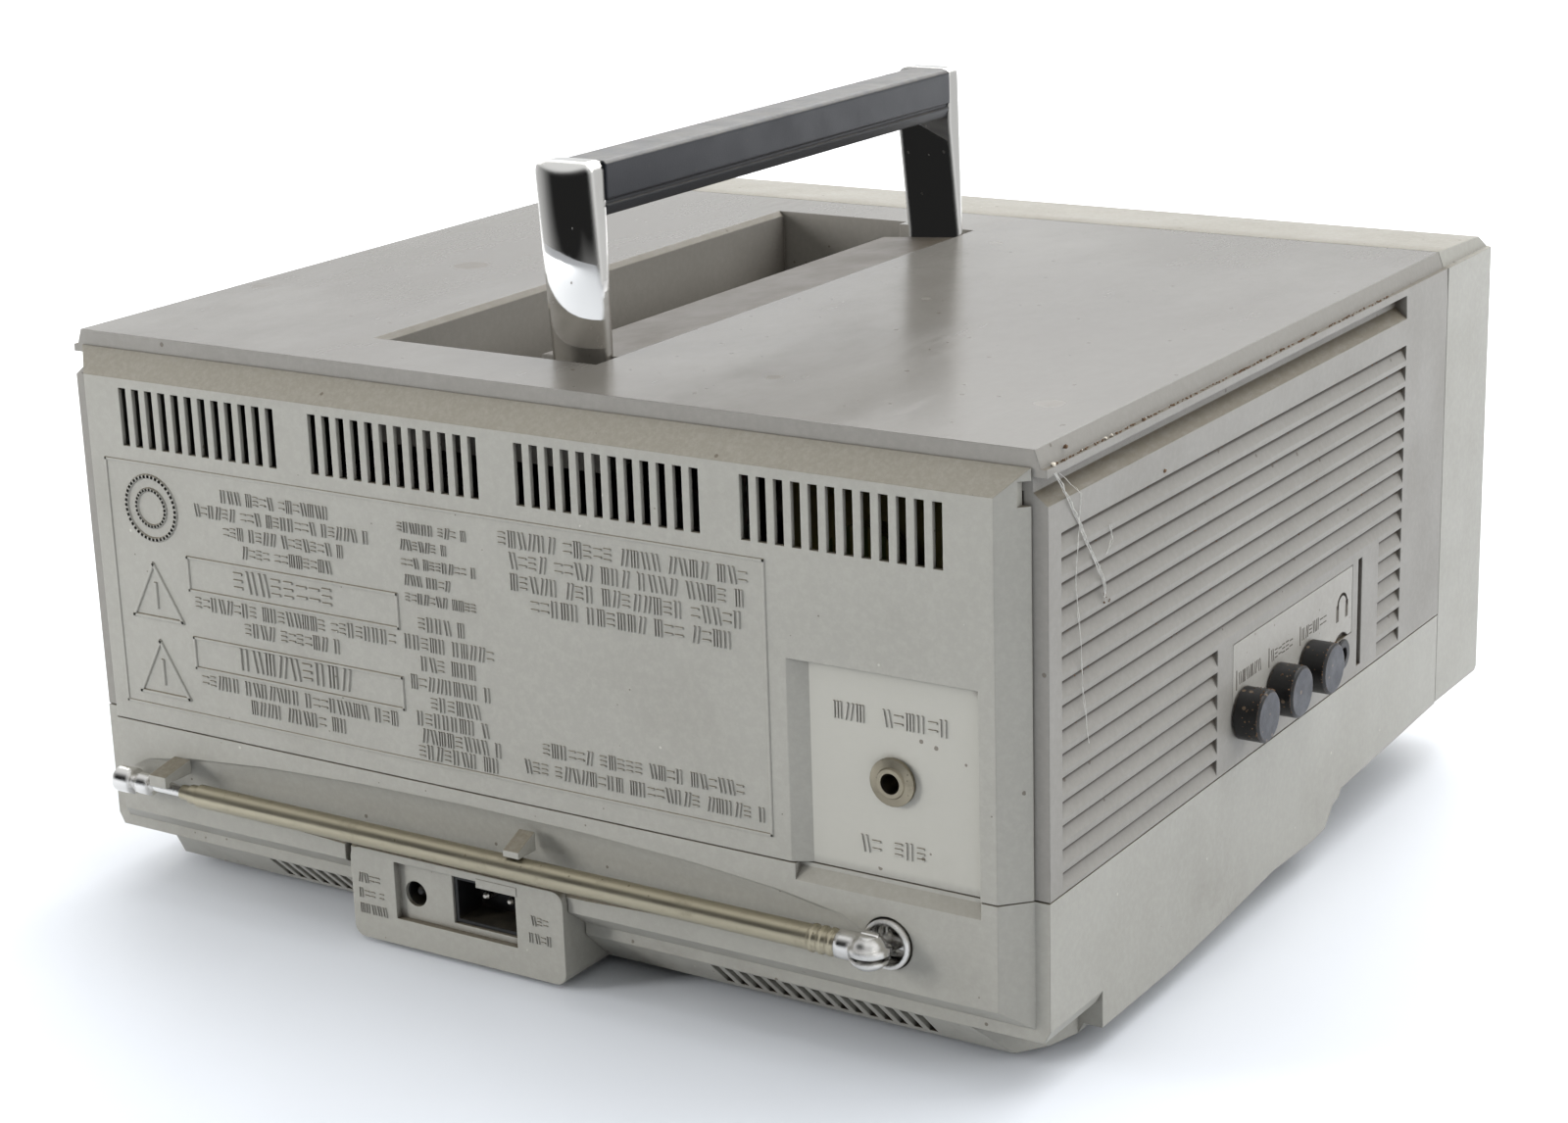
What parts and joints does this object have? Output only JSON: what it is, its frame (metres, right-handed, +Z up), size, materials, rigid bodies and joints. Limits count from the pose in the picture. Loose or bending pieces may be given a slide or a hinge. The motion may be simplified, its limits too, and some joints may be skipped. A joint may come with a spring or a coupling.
{
  "type": "portable television",
  "caption": "Portable television with a wide low cabinet, a folding carrying handle over a well in its top, louvred sides, rear vents and a telescopic aerial stowed along its back.",
  "frame": {"origin": "middle of the bounding box, on the surface the set stands on", "axes": "+Z up, -Y out of the screen, +Y out of the rear cover, -X out of the side with the three picture knobs"},
  "size_m": [0.2502, 0.252, 0.169],
  "materials": {
    "top_plastic": "worn semi-gloss grey",
    "body_plastic": "fine-textured satin grey",
    "black_plastic": "satin black",
    "steel": "plain",
    "jack_steel": "nickel, slightly tarnished",
    "rubber": "matt",
    "chrome": "polished, lightly pitted",
    "grip_plastic": "blue-black, satin",
    "aerial_metal": "nickel-plated, champagne tone",
    "label_plastic": "satin, light grey",
    "knob_plastic": "black with blue-grey flat ends",
    "circuit_board": "green-brown board",
    "panel_plastic": "satin black",
    "lens": "clear, slightly smoked",
    "front_knob_plastic": "satin grey",
    "lamp_red": "translucent red",
    "tube_glass": "dark grey-green glass",
    "copper": "enamelled copper wire",
    "ferrite": "matt black",
    "tin_can": "tinned sheet"
  },
  "bodies": {
    "cabinet": {"top_shell": "top_plastic", "rear_cover": "body_plastic", "base_shell": "body_plastic", "front_bezel": "body_plastic", "connector_block": "body_plastic", "ac_inlet": "black_plastic", "ac_pin_1": "steel", "ac_pin_2": "steel", "dc_jack": "black_plastic", "aerial_jack": "jack_steel", "foot_pad_rear_left": "rubber", "foot_pad_rear_right": "rubber", "foot_front_left": "rubber", "foot_front_right": "rubber", "aerial_socket": "chrome", "aerial_clip_end": "body_plastic", "aerial_clip_middle": "body_plastic", "side_label_strip": "label_plastic", "side_control_board": "circuit_board", "headphone_jack": "black_plastic", "control_panel": "panel_plastic", "dial_lens": "lens", "dial_scale": "label_plastic", "power_lamp": "lamp_red", "picture_tube": "tube_glass", "deflection_yoke": "copper", "neck_board": "circuit_board", "main_board": "circuit_board", "power_transformer": "steel", "flyback_transformer": "ferrite", "tuner_can": "tin_can", "speaker_basket": "tin_can", "speaker_magnet": "ferrite"},
    "handle": {"handle_grip": "grip_plastic", "handle_post_rear": "chrome", "handle_post_front": "chrome", "handle_pin_rear": "steel", "handle_pin_front": "steel"},
    "aerial_base": {"aerial_swivel": "chrome"},
    "aerial_rod": {"aerial_knuckle": "chrome", "aerial_section_1": "aerial_metal"},
    "aerial_slide_2": {"aerial_section_2": "aerial_metal"},
    "aerial_slide_3": {"aerial_section_3": "aerial_metal"},
    "aerial_end": {"aerial_tip": "chrome"},
    "side_knob_1": {"side_knob_1": "knob_plastic"},
    "side_knob_2": {"side_knob_2": "knob_plastic"},
    "side_knob_3": {"side_knob_3": "knob_plastic"},
    "tuning_knob": {"tuning_knob": "front_knob_plastic"},
    "volume_knob": {"volume_knob": "front_knob_plastic"},
    "band_switch": {"band_switch": "front_knob_plastic"},
    "power_button": {"power_button": "front_knob_plastic"},
    "battery_door": {"battery_door": "body_plastic"}
  },
  "joints": [
    {"name": "handle_fold", "type": "hinge", "parent": "cabinet", "child": "handle", "pos_m": [0.00485, 0.00755, 0.1207], "axis": [0, 1, 0], "range_deg": [0, 90]},
    {"name": "aerial_swing", "type": "hinge", "parent": "cabinet", "child": "aerial_base", "pos_m": [-0.08645, 0.11655, 0.027], "axis": [0, 1, 0], "range_deg": [0, 270]},
    {"name": "aerial_tilt", "type": "hinge", "parent": "aerial_base", "child": "aerial_rod", "pos_m": [-0.08525, 0.12175, 0.027], "axis": [0, 0, 1], "range_deg": [0, 90]},
    {"name": "aerial_pull_2", "type": "slide", "parent": "aerial_rod", "child": "aerial_slide_2", "axis": [1, 0, 0], "range_m": [0, 0.148]},
    {"name": "aerial_pull_3", "type": "slide", "parent": "aerial_slide_2", "child": "aerial_slide_3", "axis": [1, 0, 0], "range_m": [0, 0.148]},
    {"name": "aerial_pull_end", "type": "slide", "parent": "aerial_slide_3", "child": "aerial_end", "axis": [1, 0, 0], "range_m": [0, 0.148]},
    {"name": "side_knob_1_turn", "type": "hinge", "parent": "cabinet", "child": "side_knob_1", "pos_m": [-0.11885, 0.02455, 0.0507], "axis": [-1, 0, 0], "range_deg": [-140, 140]},
    {"name": "side_knob_2_turn", "type": "hinge", "parent": "cabinet", "child": "side_knob_2", "pos_m": [-0.11885, 0.00725, 0.0507], "axis": [-1, 0, 0], "range_deg": [-140, 140]},
    {"name": "side_knob_3_turn", "type": "hinge", "parent": "cabinet", "child": "side_knob_3", "pos_m": [-0.11885, -0.01005, 0.0507], "axis": [-1, 0, 0], "range_deg": [-140, 140]},
    {"name": "tuning_turn", "type": "hinge", "parent": "cabinet", "child": "tuning_knob", "pos_m": [0.09715, -0.11645, 0.078], "axis": [0, -1, 0], "range_deg": [-160, 160]},
    {"name": "volume_turn", "type": "hinge", "parent": "cabinet", "child": "volume_knob", "pos_m": [0.04715, -0.11645, 0.078], "axis": [0, -1, 0], "range_deg": [-140, 140]},
    {"name": "band_slide", "type": "slide", "parent": "cabinet", "child": "band_switch", "axis": [0, 0, -1], "range_m": [0, 0.012]},
    {"name": "power_press", "type": "slide", "parent": "cabinet", "child": "power_button", "axis": [0, 1, 0], "range_m": [0, 0.002], "stiffness_N_per_m": 250},
    {"name": "battery_door_slide", "type": "slide", "parent": "cabinet", "child": "battery_door", "axis": [0, -1, 0], "range_m": [0, 0.082]}
  ]
}
